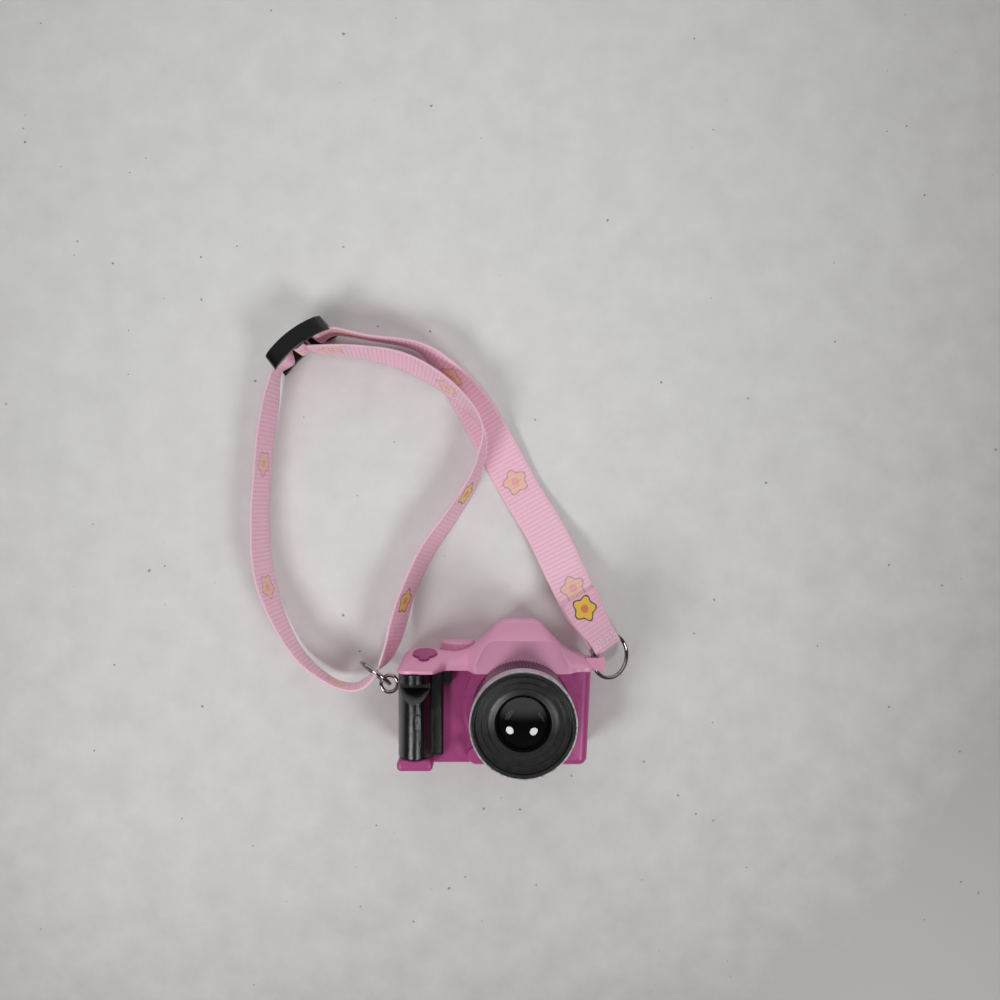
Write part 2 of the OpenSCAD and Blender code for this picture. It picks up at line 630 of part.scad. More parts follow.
module wire_ring(r, wire) { rotate_extrude(angle = 357) translate([r, 0]) circle(wire, $fn = 24); }

module strap_eye() {
    color(steel) {
        translate([eye_x, eye_y, eye_z]) rotate_extrude() translate([eye_r, 0]) circle(eye_wire, $fn = 24);
        translate([eye_x + eye_r, eye_y, eye_z]) rotate([0, 90, 0]) cylinder(r = eye_wire, h = shank_len - grip_side - eye_x - eye_r);
    }
}

module grip_ring() {
    color(steel) translate([eye_x + grip_ring_r * cos(grip_ring_turn), eye_y + grip_ring_r * sin(grip_ring_turn), eye_z])
        rotate([90 + grip_ring_tilt, 0, grip_ring_turn]) rotate(40) wire_ring(grip_ring_r, wire_r);
}

module far_ring() {
    color(steel) translate([lug_x, lug_y, lug_z]) rotate([0, far_ring_tilt, 0])
        translate([far_ring_reach, far_ring_shift, 0]) rotate(-60) wire_ring(far_ring_r, wire_r);
}

module slider_buckle() {
    slot_z = slider_h - 2 * slider_edge;
    bow_r = slider_l * slider_l / (8 * slider_bow) + slider_bow / 2;
    crown = slider_t / 2 + slider_bow - bow_r;
    color(soft_black) translate([slider_at[0], slider_at[1], 0]) rotate(slider_turn) difference() {
        intersection() {
            translate([0, rail_t, 0]) rotate([90, 0, 0]) linear_extrude(height = 2 * rail_t)
                polygon(casing_outline(-slider_l / 2, slider_l / 2, 0, 0, slider_h, 1.6));
            difference() {
                translate([0, crown, -1]) cylinder(r = bow_r, h = slider_h + 2);
                translate([0, crown - rail_t, -2]) cylinder(r = bow_r, h = slider_h + 4);
            }
        }
        translate([-slider_l, -slider_t / 2 - rail_t, slider_edge]) cube([2 * slider_l, rail_t, slot_z]);
        translate([-slot_half, slider_t / 2, slider_edge]) cube([2 * slot_half, rail_t, slot_z]);
        for (x = [-slot_half, bar_half]) translate([x, -slider_t, slider_edge])
            cube([slot_half - bar_half, 2 * slider_t, slot_z]);
    }
}

// Webbing routes: x, y, height of the lower edge, lean, width, bearing of the width where it is set by hand
function by_slider(u, n) = [slider_at[0] + u * cos(slider_turn) - n * sin(slider_turn), slider_at[1] + u * sin(slider_turn) + n * cos(slider_turn)];
function slid(u, n) = let (p = by_slider(u, n)) [p[0], p[1], web_lift, 90, web_w];
fold_w = 8.2;
fold_bearing = 28.6;
far_route = [[14.2, 25.6, 8.4, -14, web_w, fold_bearing], [15.9, 22, 9.5, -22, web_w, fold_bearing],
    [17.9, 18.7, 10.3, -29.7, 9.2, fold_bearing], [19.5, 16.3, 10, -29.7, fold_w, fold_bearing],
    [21.4, 13.3, 8.7, -29.7, fold_w, fold_bearing], [21.6, 12.8, 8.3, -29.7, fold_w, fold_bearing],
    [21.3, 12.5, 7.6, -29.7, fold_w, fold_bearing], [20.8, 12.7, 7.2, -29.7, fold_w, fold_bearing],
    [20.4, 13.3, 7.1, -29.7, fold_w, fold_bearing], [18.7, 16.3, 8.3, -29.7, fold_w, fold_bearing],
    [17.5, 18.7, 9.5, -29.7, 9.2, fold_bearing], [15.5, 22, 8.8, -22, web_w, fold_bearing],
    [13.8, 25.6, 7.7, -14, web_w, fold_bearing], [10.8, 32, 5.2, -5, web_w], [6.1, 41.8, 2, 0, web_w],
    [0, 51.8, 0.4, 4, web_w], [-5.9, 63.3, 0.3, 10, web_w], [-10.2, 73.5, 0.3, 28, web_w],
    [-17.7, 83.4, 0.4, 58, web_w], [-25.2, 88.9, 0.6, 78, web_w], [-37.5, 91.6, 1.2, 86, web_w],
    slid(9, -2.1), slid(6.4, -1.75), slid(4.3, -1.6), slid(2.7, 1.9), slid(1.6, 2.4), slid(0.05, 2.45)];
grip_route = [slid(-0.05, 2.45), slid(-1.6, 2.4), slid(-2.7, 1.9), slid(-4.3, -1.6), slid(-6.4, -1.75), slid(-9, -2),
    [-62.2, 74.1, 1, 80, web_w], [-63.8, 64.2, 0.5, 79, web_w], [-64.7, 54.3, 0.2, 77, web_w],
    [-65.2, 44.3, 0.2, 76, web_w], [-64.4, 31.9, 0.2, 76, web_w], [-60.9, 20.8, 0.6, 80, web_w],
    [-54.9, 10.5, 1.2, 88, web_w], [-47.3, 4.5, 2.3, 93, 9.4], [-41.8, 3.1, 4.2, 88, 7.8],
    [-38.4, 4.3, 6.6, 78, 6.2], [-35.6, 6.9, 7.1, 78, 6], [-33.8, 9.8, 6.4, 90, 6.4],
    [-32.2, 13.6, 4.4, 102, 8], [-30.4, 18.6, 2.2, 107, web_w], [-27.3, 25.6, 0.8, 107, web_w],
    [-22.4, 35.7, 0.3, 107, web_w], [-17.5, 44.4, 0.3, 106, web_w], [-11.8, 54.2, 0.8, 104, web_w],
    [-9.4, 62, 2, 97, web_w], [-9.5, 67.4, 2.6, 88, web_w], [-12.6, 73.2, 2.4, 77, web_w],
    [-20, 79.4, 1.4, 73, web_w], [-30, 84.1, 1, 73, web_w], [-41.6, 86.3, 1.4, 80, web_w], slid(1.2, -2.4)];

function bearing(route, i) = !is_undef(route[i][5]) ? route[i][5]
    : let (a = route[max(i - 1, 0)], b = route[min(i + 1, len(route) - 1)]) atan2(b[1] - a[1], b[0] - a[0]) - 90;
function middle(p) = [p[0], p[1], p[2] + p[4] / 2 * max(0, sin(p[3]))];
function across(route, i) = let (b = bearing(route, i), t = route[i][3]) [cos(b) * cos(t), sin(b) * cos(t), sin(t)];
function web_row(route, i) =
    let (c = middle(route[i]), w = across(route, i) * route[i][4] / 2,
        along = middle(route[min(i + 1, len(route) - 1)]) - middle(route[max(i - 1, 0)]),
        n = unit(cross(w, along)) * web_t / 2)
    [c - w - n, c - w + n, c + w + n, c + w - n];

module webbing(route) { loft([for (i = [0:len(route) - 1]) web_row(route, i)]); }

module strap_far_run() { color("#dcb0c4") webbing(far_route); }

module strap_grip_run() { color("#dcb0c4") webbing(grip_route); }

module strap_bar_loop() {
    inner_u = bar_half + seat_gap;
    inner_n = slider_t / 2 + seat_gap;
    color("#dcb0c4") translate([slider_at[0], slider_at[1], web_lift]) rotate(slider_turn) linear_extrude(height = web_w) difference() {
        square([2 * (inner_u + web_t), 2 * (inner_n + web_t)], center = true);
        square([2 * inner_u, 2 * inner_n], center = true);
    }
}

front_shell();
rear_cover();
top_cover();
grip_panel();
shutter_button();
button_switch();
switch_plunger();
mode_dial();
lens_barrel();
bright_ring();
front_bezel();
lens_dome();
led();
circuit_board();
speaker();
battery_cells();
battery_contacts();
battery_door();
door_screw();
case_screws();
strap_eye();
grip_ring();
far_ring();
slider_buckle();
strap_far_run();
strap_grip_run();
strap_bar_loop();
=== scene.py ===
"""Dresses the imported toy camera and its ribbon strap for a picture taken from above."""

from __future__ import annotations

import json
import logging
import math
from dataclasses import dataclass, field
from enum import Enum
from typing import Any, NamedTuple

import bmesh
import bpy
from mathutils import Matrix, Vector

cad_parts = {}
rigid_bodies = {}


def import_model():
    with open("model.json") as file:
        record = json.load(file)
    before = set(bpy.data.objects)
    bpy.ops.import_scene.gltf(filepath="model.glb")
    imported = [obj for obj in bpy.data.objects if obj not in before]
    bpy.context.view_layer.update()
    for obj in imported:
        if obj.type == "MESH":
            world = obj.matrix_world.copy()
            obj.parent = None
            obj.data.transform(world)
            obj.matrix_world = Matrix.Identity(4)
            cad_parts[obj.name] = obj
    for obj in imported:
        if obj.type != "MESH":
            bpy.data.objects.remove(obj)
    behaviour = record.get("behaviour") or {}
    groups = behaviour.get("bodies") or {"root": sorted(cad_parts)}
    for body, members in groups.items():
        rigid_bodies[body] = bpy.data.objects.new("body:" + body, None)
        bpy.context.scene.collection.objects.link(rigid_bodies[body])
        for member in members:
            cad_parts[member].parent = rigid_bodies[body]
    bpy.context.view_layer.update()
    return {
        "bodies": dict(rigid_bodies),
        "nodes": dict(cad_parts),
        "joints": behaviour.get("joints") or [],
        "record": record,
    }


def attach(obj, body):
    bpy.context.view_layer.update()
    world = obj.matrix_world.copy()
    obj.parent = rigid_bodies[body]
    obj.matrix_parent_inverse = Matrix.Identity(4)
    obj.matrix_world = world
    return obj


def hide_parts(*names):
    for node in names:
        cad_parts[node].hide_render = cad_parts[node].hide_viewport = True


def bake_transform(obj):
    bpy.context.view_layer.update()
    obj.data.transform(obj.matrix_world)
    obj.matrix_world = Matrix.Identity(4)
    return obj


LOG = logging.getLogger("toy_camera")
MM = 0.001

# A noise texture seldom leaves this span.
NOISE_LOW, NOISE_HIGH = 0.3, 0.7

# Sockets of a Mix node that are named alike for numbers and colours.
MIX_FIRST, MIX_SECOND, MIX_RESULT = 6, 7, 2

# The ribbon and the slider that it is threaded through, in metres and degrees.
STRIP_MAP = "strip_mm"
WEB = 0.010
WEB_THICK = 0.00045
FOLD_WIDTH = 0.0082
FOLD_BEARING = 28.6
SLIDER_AT = (-0.0547, 0.088)
SLIDER_TURN = math.radians(37.3)
SLIDER_LIFT = 0.0018


class Side(Enum):
    """The two faces of the ribbon, and its edge."""

    BACK = 0
    PRINTED = 1
    SELVEDGE = 2


def linear(hex_colour: str) -> tuple[float, float, float, float]:
    """Turns an sRGB hex colour into linear values.

    Args:
        hex_colour: Six hex digits after a hash sign.

    Returns:
        Linear red, green, blue and an alpha of one.
    """
    parts = [int(hex_colour[i : i + 2], 16) / 255 for i in (1, 3, 5)]
    values = [c / 12.92 if c <= 0.04045 else ((c + 0.055) / 1.055) ** 2.4 for c in parts]
    return (values[0], values[1], values[2], 1.0)


def fill(tree: bpy.types.NodeTree, node: bpy.types.Node, links: dict[Any, Any]) -> None:
    """Sets or feeds inputs of a node.

    Args:
        tree: Node tree that holds the node.
        node: Node whose inputs are set.
        links: Input name or number to a value, or to the socket that feeds it.
    """
    for key, value in links.items():
        if isinstance(value, bpy.types.NodeSocket):
            tree.links.new(value, node.inputs[key])
        else:
            node.inputs[key].default_value = value


def add(
    tree: bpy.types.NodeTree, kind: str, links: dict[Any, Any] | None = None, **settings: Any
) -> bpy.types.Node:
    """Adds a node with its settings and links.

    Args:
        tree: Node tree that takes the node.
        kind: Blender's name for the kind of node.
        links: Input name or number to a value, or to the socket that feeds it.
        settings: Attributes of the node itself.

    Returns:
        The new node.
    """
    node = tree.nodes.new(kind)
    for name, value in settings.items():
        setattr(node, name, value)
    fill(tree, node, links or {})
    return node


def noise(
    tree: bpy.types.NodeTree,
    place: bpy.types.NodeSocket,
    size_mm: float,
    detail: float,
    roughness: float = 0.5,
) -> bpy.types.NodeSocket:
    """Adds a noise texture.

    Args:
        tree: Node tree that takes the node.
        place: Coordinates in metres.
        size_mm: Size of the largest marks.
        detail: Number of finer layers.
        roughness: Strength of each finer layer beside the one before it.

    Returns:
        The noise.
    """
    links = {"Vector": place, "Scale": 1 / (size_mm * MM), "Detail": detail, "Roughness": roughness}
    return add(tree, "ShaderNodeTexNoise", links).outputs[0]


def over_noise(
    tree: bpy.types.NodeTree, value: bpy.types.NodeSocket, low: float, high: float
) -> bpy.types.NodeSocket:
    """Maps the usual span of a noise to other values.

    Args:
        tree: Node tree that takes the node.
        value: The noise.
        low: Result at the low end of the noise.
        high: Result at the high end of the noise.

    Returns:
        The mapped noise.
    """
    links = {0: value, 1: NOISE_LOW, 2: NOISE_HIGH, 3: low, 4: high}
    return add(tree, "ShaderNodeMapRange", links).outputs[0]


def mix(tree: bpy.types.NodeTree, share: Any, first: Any, second: Any) -> bpy.types.NodeSocket:
    """Mixes two colours.

    Args:
        tree: Node tree that takes the node.
        share: Share of the second colour.
        first: First colour, as values or a socket.
        second: Second colour, as values or a socket.

    Returns:
        The mixed colour.
    """
    links = {"Factor": share, MIX_FIRST: first, MIX_SECOND: second}
    return add(tree, "ShaderNodeMix", links, data_type="RGBA").outputs[MIX_RESULT]


def calc(tree: bpy.types.NodeTree, operation: str, *values: Any) -> bpy.types.NodeSocket:
    """Adds a Math node.

    Args:
        tree: Node tree that takes the node.
        operation: Blender's name for the operation.
        values: Numbers or sockets, in the order of the node's inputs.

    Returns:
        The result of the operation.
    """
    return add(tree, "ShaderNodeMath", dict(enumerate(values)), operation=operation).outputs[0]


def blank_material(name: str) -> tuple[bpy.types.Material, bpy.types.NodeTree, bpy.types.Node]:
    """Makes an empty material with its surface shader.

    Args:
        name: Name of the material.

    Returns:
        The material, its node tree and its shader node.
    """
    material = bpy.data.materials.new(name)
    material.use_nodes = True
    tree = material.node_tree
    tree.nodes.clear()
    shader = add(tree, "ShaderNodeBsdfPrincipled")
    add(tree, "ShaderNodeOutputMaterial", {"Surface": shader.outputs[0]})
    return material, tree, shader


def stand(name: str, data: bpy.types.ID) -> bpy.types.Object:
    """Puts a mesh, lamp or camera in the scene.

    Args:
        name: Name of the object.
        data: What the object shows.

    Returns:
        The new object.
    """
    made = bpy.data.objects.new(name, data)
    bpy.context.collection.objects.link(made)
    return made


def mesh_piece(
    name: str, bm: bmesh.types.BMesh, finishes: list[bpy.types.Material]
) -> bpy.types.Object:
    """Turns a shape into a piece of the scene.

    Args:
        name: Name of the piece.
        bm: The shape, which is freed.
        finishes: Materials of the piece.

    Returns:
        The new piece.
    """
    mesh = bpy.data.meshes.new(name)
    bm.to_mesh(mesh)
    bm.free()
    for finish in finishes:
        mesh.materials.append(finish)
    return stand(name, mesh)


@dataclass(frozen=True)
class MouldedPlastic:
    """Injection-moulded ABS: faint flow marks, a fine spark-eroded grain and rubbed patches."""

    name: str
    colour: str
    flow: str
    roughness: float = 0.32
    grain_mm: float = 0.25
    grain_height_mm: float = 0.002
    flow_mm: float = 9.0
    rub_mm: float = 1.7
    rub_least: float = 0.85
    rub_most: float = 1.2
    edge_mm: float = 0.2
    edge_samples: int = 4
    bending: float = 1.53
    shine: float = 0.5

    def build(self) -> bpy.types.Material:
        """Returns the material of this finish."""
        material, tree, shader = blank_material(self.name)
        place = add(tree, "ShaderNodeTexCoord").outputs["Object"]
        flow = noise(tree, place, self.flow_mm, 3.0)
        rub = noise(tree, place, self.rub_mm, 5.0)
        grain = noise(tree, place, self.grain_mm, 2.0)
        edge = add(tree, "ShaderNodeBevel", {"Radius": self.edge_mm * MM}, samples=self.edge_samples)
        relief = {
            "Height": grain,
            "Distance": self.grain_height_mm * MM,
            "Strength": 1.0,
            "Normal": edge.outputs[0],
        }
        surface = {
            "Base Color": mix(tree, flow, linear(self.colour), linear(self.flow)),
            "Roughness": over_noise(
                tree, rub, self.roughness * self.rub_least, self.roughness * self.rub_most
            ),
            "Normal": add(tree, "ShaderNodeBump", relief).outputs[0],
            "IOR": self.bending,
            "Specular IOR Level": self.shine,
        }
        fill(tree, shader, surface)
        return material


@dataclass(frozen=True)
class PlatedMetal:
    """Nickel-plated wire or silver trim, with a little tarnish and fine scuffs."""

    name: str
    colour: str
    tarnish: str
    roughness: float = 0.18
    mark_mm: float = 0.6
    scuff_least: float = 0.7
    scuff_most: float = 1.5
    metallic: float = 1.0

    def build(self) -> bpy.types.Material:
        """Returns the material of this finish."""
        material, tree, shader = blank_material(self.name)
        place = add(tree, "ShaderNodeTexCoord").outputs["Object"]
        cloud = noise(tree, place, 4 * self.mark_mm, 4.0)
        scuff = noise(tree, place, self.mark_mm, 3.0)
        surface = {
            "Base Color": mix(tree, cloud, linear(self.colour), linear(self.tarnish)),
            "Roughness": over_noise(
                tree, scuff, self.roughness * self.scuff_least, self.roughness * self.scuff_most
            ),
            "Metallic": self.metallic,
        }
        fill(tree, shader, surface)
        return material


@dataclass(frozen=True)
class ClearPlastic:
    """Moulded clear plastic: polished, faintly smoky, with a little haze from handling."""

    name: str
    colour: str
    roughness: float = 0.02
    haze_mm: float = 3.0
    haze_least: float = 0.6
    haze_most: float = 1.5
    bending: float = 1.58

    def build(self) -> bpy.types.Material:
        """Returns the material of this finish."""
        material, tree, shader = blank_material(self.name)
        place = add(tree, "ShaderNodeTexCoord").outputs["Object"]
        haze = noise(tree, place, self.haze_mm, 1.0)
        surface = {
            "Base Color": linear(self.colour),
            "Roughness": over_noise(
                tree, haze, self.roughness * self.haze_least, self.roughness * self.haze_most
            ),
            "Transmission Weight": 1.0,
            "IOR": self.bending,
        }
        fill(tree, shader, surface)
        return material


@dataclass(frozen=True)
class PaintedBoard:
    """A pale painted tabletop: mottled and specked, with painted shade that darkens it away from its
    brightest spot in place of the light's falloff.
    """

    name: str
    # The next two colours are the lit and shaded ends of a painted shade that stands in for the light's
    # falloff across the table.
    lit_paint: str = "#efefee"
    shaded_paint: str = "#a2a09c"
    speck: str = "#6d6a67"
    roughness: float = 0.5
    # Painted shade: the paint darkens with distance from this brightest spot, at these rates, for the
    # light's falloff; the mottle adds random tone on top.
    brightest_spot: tuple[float, float, float] = (-0.032, 0.163, 0.0)
    falloff_rate: tuple[float, float, float] = (4.74, 3.61, 0.0)
    shade_least: float = 0.06
    mottle_mm: float = 9.0
    mottle_spread: float = 0.07
    mottle_height_mm: float = 0.05
    speck_gap_mm: float = 4.5
    speck_chance: float = 0.5
    speck_reach: tuple[float, float] = (-0.02, 0.16)
    speck_rag_mm: float = 0.5
    speck_edge: float = 0.008
    speck_strength: float = 0.75

    def shade_and_mottle(
        self, tree: bpy.types.NodeTree, place: bpy.types.NodeSocket, cloud: bpy.types.NodeSocket
    ) -> bpy.types.NodeSocket:
        """Works out the painted shade of the board, which stands in for the light's falloff, with
        random mottle added.

        Args:
            tree: Node tree that takes the nodes.
            place: Coordinates in metres.
            cloud: Noise of the mottling.

        Returns:
            Painted shade and mottle from 0 to 1.
        """
        kind = "ShaderNodeVectorMath"
        away = add(tree, kind, {0: place, 1: self.brightest_spot}, operation="SUBTRACT").outputs[0]
        far = add(tree, kind, {0: away, 1: self.falloff_rate}, operation="MULTIPLY").outputs[0]
        rate = add(tree, kind, {0: far, 1: far}, operation="DOT_PRODUCT").outputs["Value"]
        low, high = self.shade_least - self.mottle_spread, self.shade_least + self.mottle_spread
        links = {0: rate, 1: over_noise(tree, cloud, low, high)}
        return add(tree, "ShaderNodeMath", links, operation="ADD", use_clamp=True).outputs[0]

    def specks(
        self, tree: bpy.types.NodeTree, place: bpy.types.NodeSocket
    ) -> bpy.types.NodeSocket:
        """Scatters small ragged specks of differing size.

        Args:
            tree: Node tree that takes the nodes.
            place: Coordinates in metres.

        Returns:
            Strength of the specks.
        """
        cells = {"Vector": place, "Scale": 1 / (self.speck_gap_mm * MM)}
        dots = add(tree, "ShaderNodeTexVoronoi", cells)
        chance = add(tree, "ShaderNodeSeparateColor", {0: dots.outputs["Color"]}).outputs[0]
        small, large = self.speck_reach
        sizes = {0: chance, 1: self.speck_chance, 2: 1.0, 3: small, 4: large}
        spread = add(tree, "ShaderNodeMapRange", sizes).outputs[0]
        reach = calc(tree, "MULTIPLY", spread, noise(tree, place, self.speck_rag_mm, 2.0))
        depth = calc(tree, "SUBTRACT", reach, dots.outputs["Distance"])
        edge = {0: depth, 1: -self.speck_edge, 2: self.speck_edge, 3: 0.0, 4: self.speck_strength}
        return add(tree, "ShaderNodeMapRange", edge).outputs[0]

    def build(self) -> bpy.types.Material:
        """Returns the material of this finish."""
        material, tree, shader = blank_material(self.name)
        place = add(tree, "ShaderNodeTexCoord").outputs["Object"]
        cloud = noise(tree, place, self.mottle_mm, 7.0, roughness=0.6)
        # Painted shade: the board's colour darkens away from its brightest spot, mixed with random
        # mottle.
        paint = mix(tree, self.shade_and_mottle(tree, place, cloud), linear(self.lit_paint), linear(self.shaded_paint))
        relief = {"Height": cloud, "Distance": self.mottle_height_mm * MM, "Strength": 0.5}
        surface = {
            "Base Color": mix(tree, self.specks(tree, place), paint, linear(self.speck)),
            "Normal": add(tree, "ShaderNodeBump", relief).outputs[0],
            "Roughness": self.roughness,
        }
        fill(tree, shader, surface)
        return material


@dataclass(frozen=True)
class WovenRibbon:
    """Polyester grosgrain: cross ribs, bound edges, and a print that shows faintly on the back."""

    name: str
    colour: str
    groove_shade: str
    # The groove colour is painted shade: the recesses between the ribs are coloured darker, as if they
    # fell in shade.
    print_strength: float
    petal: str = "#f0c41c"
    outline: str = "#1d1113"
    heart: str = "#dc7f2e"
    roughness: float = 0.62
    sheen: float = 0.25
    sheen_roughness: float = 0.4
    rib_mm: float = 1.08
    rib_height_mm: float = 0.05
    rib_share: float = 0.75
    warp_mm: float = 0.45
    fuzz_per_mm: float = 1.4
    edge_mm: float = 4.35
    edge_fade_mm: float = 0.25
    edge_raise: float = 0.9
    period_mm: float = 31.0
    first_mm: float = 12.0
    blossom_mm: float = 3.0
    lobes: float = 5.0
    lobe_mm: float = 0.42
    outline_mm: tuple[float, float] = (0.28, 0.48)
    heart_mm: float = 1.05
    soft_mm: float = 0.1
    ink_on_ribs: float = 0.12

    def step(
        self, tree: bpy.types.NodeTree, value: bpy.types.NodeSocket, low: float, high: float
    ) -> bpy.types.NodeSocket:
        """Adds a smooth step.

        Args:
            tree: Node tree that takes the node.
            value: What is compared.
            low: Where the step starts.
            high: Where the step ends.

        Returns:
            0 below the step, 1 above it.
        """
        links = {0: value, 1: low, 2: high}
        return add(tree, "ShaderNodeMapRange", links, interpolation_type="SMOOTHSTEP").outputs[0]

    def weave(
        self,
        tree: bpy.types.NodeTree,
        strip: bpy.types.NodeSocket,
        along: bpy.types.NodeSocket,
        across: bpy.types.NodeSocket,
    ) -> bpy.types.NodeSocket:
        """Works out the height of the cloth.

        Args:
            tree: Node tree that takes the nodes.
            strip: Place on the flat strip, in millimetres.
            along: Distance along the strip.
            across: Distance from the strip's middle.

        Returns:
            Height from 0 in a groove to 1 on a rib.
        """
        cloud = {"Vector": strip, "Scale": self.fuzz_per_mm, "Detail": 3.0}
        fuzz = add(tree, "ShaderNodeTexNoise", cloud).outputs[0]
        wobble = calc(tree, "MULTIPLY_ADD", fuzz, 0.5, along)
        waves = []
        for place, size_mm in ((wobble, self.rib_mm), (across, self.warp_mm)):
            wave = calc(tree, "SINE", calc(tree, "MULTIPLY", place, 2 * math.pi / size_mm))
            waves.append(calc(tree, "MULTIPLY_ADD", wave, 0.5, 0.5))
        warp = calc(tree, "MULTIPLY", waves[1], 1 - self.rib_share)
        cloth = calc(tree, "MULTIPLY_ADD", waves[0], self.rib_share, warp)
        fade = self.edge_mm + self.edge_fade_mm
        bound = self.step(tree, calc(tree, "ABSOLUTE", across), self.edge_mm, fade)
        return calc(tree, "MAXIMUM", cloth, calc(tree, "MULTIPLY", bound, self.edge_raise))

    def blossom(
        self, tree: bpy.types.NodeTree, along: bpy.types.NodeSocket, across: bpy.types.NodeSocket
    ) -> tuple[bpy.types.NodeSocket, bpy.types.NodeSocket]:
        """Draws one blossom in each stretch of the strip.

        Args:
            tree: Node tree that takes the nodes.
            along: Distance along the strip.
            across: Distance from the strip's middle.

        Returns:
            The blossom's colour, and 1 inside it.
        """
        shifted = calc(tree, "ADD", along, self.first_mm)
        within = calc(tree, "MODULO", shifted, self.period_mm)
        local = calc(tree, "SUBTRACT", within, self.period_mm / 2)
        turn = calc(tree, "ARCTAN2", across, local)
        squares = [calc(tree, "MULTIPLY", side, side) for side in (local, across)]
        reach = calc(tree, "SQRT", calc(tree, "ADD", *squares))
        lobe = calc(tree, "COSINE", calc(tree, "MULTIPLY", turn, self.lobes))
        rim = calc(tree, "MULTIPLY_ADD", lobe, self.lobe_mm, self.blossom_mm)
        depth = calc(tree, "SUBTRACT", rim, reach)
        inside = self.step(tree, depth, -self.soft_mm, self.soft_mm)
        filled = self.step(tree, depth, *self.outline_mm)
        centre = calc(tree, "SUBTRACT", self.heart_mm, reach)
        heart = self.step(tree, centre, -self.soft_mm, self.soft_mm)
        flower = mix(tree, filled, linear(self.outline), linear(self.petal))
        return mix(tree, heart, flower, linear(self.heart)), inside

    def build(self) -> bpy.types.Material:
        """Returns the material of this finish."""
        material, tree, shader = blank_material(self.name)
        strip = add(tree, "ShaderNodeUVMap", uv_map=STRIP_MAP).outputs[0]
        axes = add(tree, "ShaderNodeSeparateXYZ", {0: strip})
        along, across = axes.outputs[0], axes.outputs[1]
        raised = self.weave(tree, strip, along, across)
        blossom, inside = self.blossom(tree, along, across)
        ink = calc(tree, "MULTIPLY_ADD", raised, self.ink_on_ribs, 1 - self.ink_on_ribs)
        cover = calc(tree, "MULTIPLY", inside, calc(tree, "MULTIPLY", self.print_strength, ink))
        # Painted shade: the grooves between the ribs take the darker colour, the ribs and bound edges
        # the lighter one.
        base = mix(tree, raised, linear(self.groove_shade), linear(self.colour))
        relief = {"Height": raised, "Distance": self.rib_height_mm * MM, "Strength": 0.8}
        surface = {
            "Base Color": mix(tree, cover, base, blossom),
            "Normal": add(tree, "ShaderNodeBump", relief).outputs[0],
            "Roughness": self.roughness,
            "Sheen Weight": self.sheen,
            "Sheen Roughness": self.sheen_roughness,
        }
        fill(tree, shader, surface)
        return material


class RoutePoint(NamedTuple):
    """A point of the ribbon's route: its middle in plan, lower edge, lean, width and bearing."""

    x: float
    y: float
    low: float
    lean: float
    width: float
    bearing: float | None = None


@dataclass(frozen=True)
class Webbing:
    """One stretch of the ribbon as a route of points."""

    points: tuple[RoutePoint, ...]

    def middles(self) -> list[Vector]:
        """Returns the centre of the strip at each point."""
        rises = [p.width / 2 * max(0.0, math.sin(math.radians(p.lean))) for p in self.points]
        return [Vector((p.x, p.y, p.low + rise)) for p, rise in zip(self.points, rises)]

    def bearing(self, i: int) -> float:
        """Returns the level bearing of the strip's width at a point, in radians."""
        own = self.points[i].bearing
        if own is not None:
            return math.radians(own)
        a = self.points[max(i - 1, 0)]
        b = self.points[min(i + 1, len(self.points) - 1)]
        return math.atan2(b.y - a.y, b.x - a.x) - math.pi / 2

    def across(self, i: int) -> Vector:
        """Returns the strip's width at a point as a vector."""
        turn, lean = self.bearing(i), math.radians(self.points[i].lean)
        flat = math.cos(lean)
        way = Vector((math.cos(turn) * flat, math.sin(turn) * flat, math.sin(lean)))
        return way * self.points[i].width


@dataclass
class Station:
    """A cross-section of the ribbon: centre, width vector, normal and distance from the start."""

    centre: Vector
    width: Vector
    normal: Vector
    travel: float


def smooth_between(values: list[Vector], i: int, t: float) -> Vector:
    """Reads a Catmull-Rom curve through the values.

    Args:
        values: Points the curve passes through.
        i: Number of the span.
        t: Share of the span, from 0 to 1.

    Returns:
        The point on the curve.
    """
    a = values[max(i - 1, 0)]
    b, c = values[i], values[i + 1]
    d = values[min(i + 2, len(values) - 1)]
    return 0.5 * (
        2 * b + (c - a) * t + (2 * a - 5 * b + 4 * c - d) * t * t + (3 * b - a - 3 * c + d) * t * t * t
    )


def by_slider(u: float, n: float) -> RoutePoint:
    """Places an upright route point in the slider's own directions.

    Args:
        u: Distance along the slider from its middle bar, in metres.
        n: Distance out of the slider's face, in metres.

    Returns:
        The route point.
    """
    turned = (math.cos(SLIDER_TURN), math.sin(SLIDER_TURN))
    x = SLIDER_AT[0] + u * turned[0] - n * turned[1]
    y = SLIDER_AT[1] + u * turned[1] + n * turned[0]
    return RoutePoint(x, y, SLIDER_LIFT, 90, WEB)


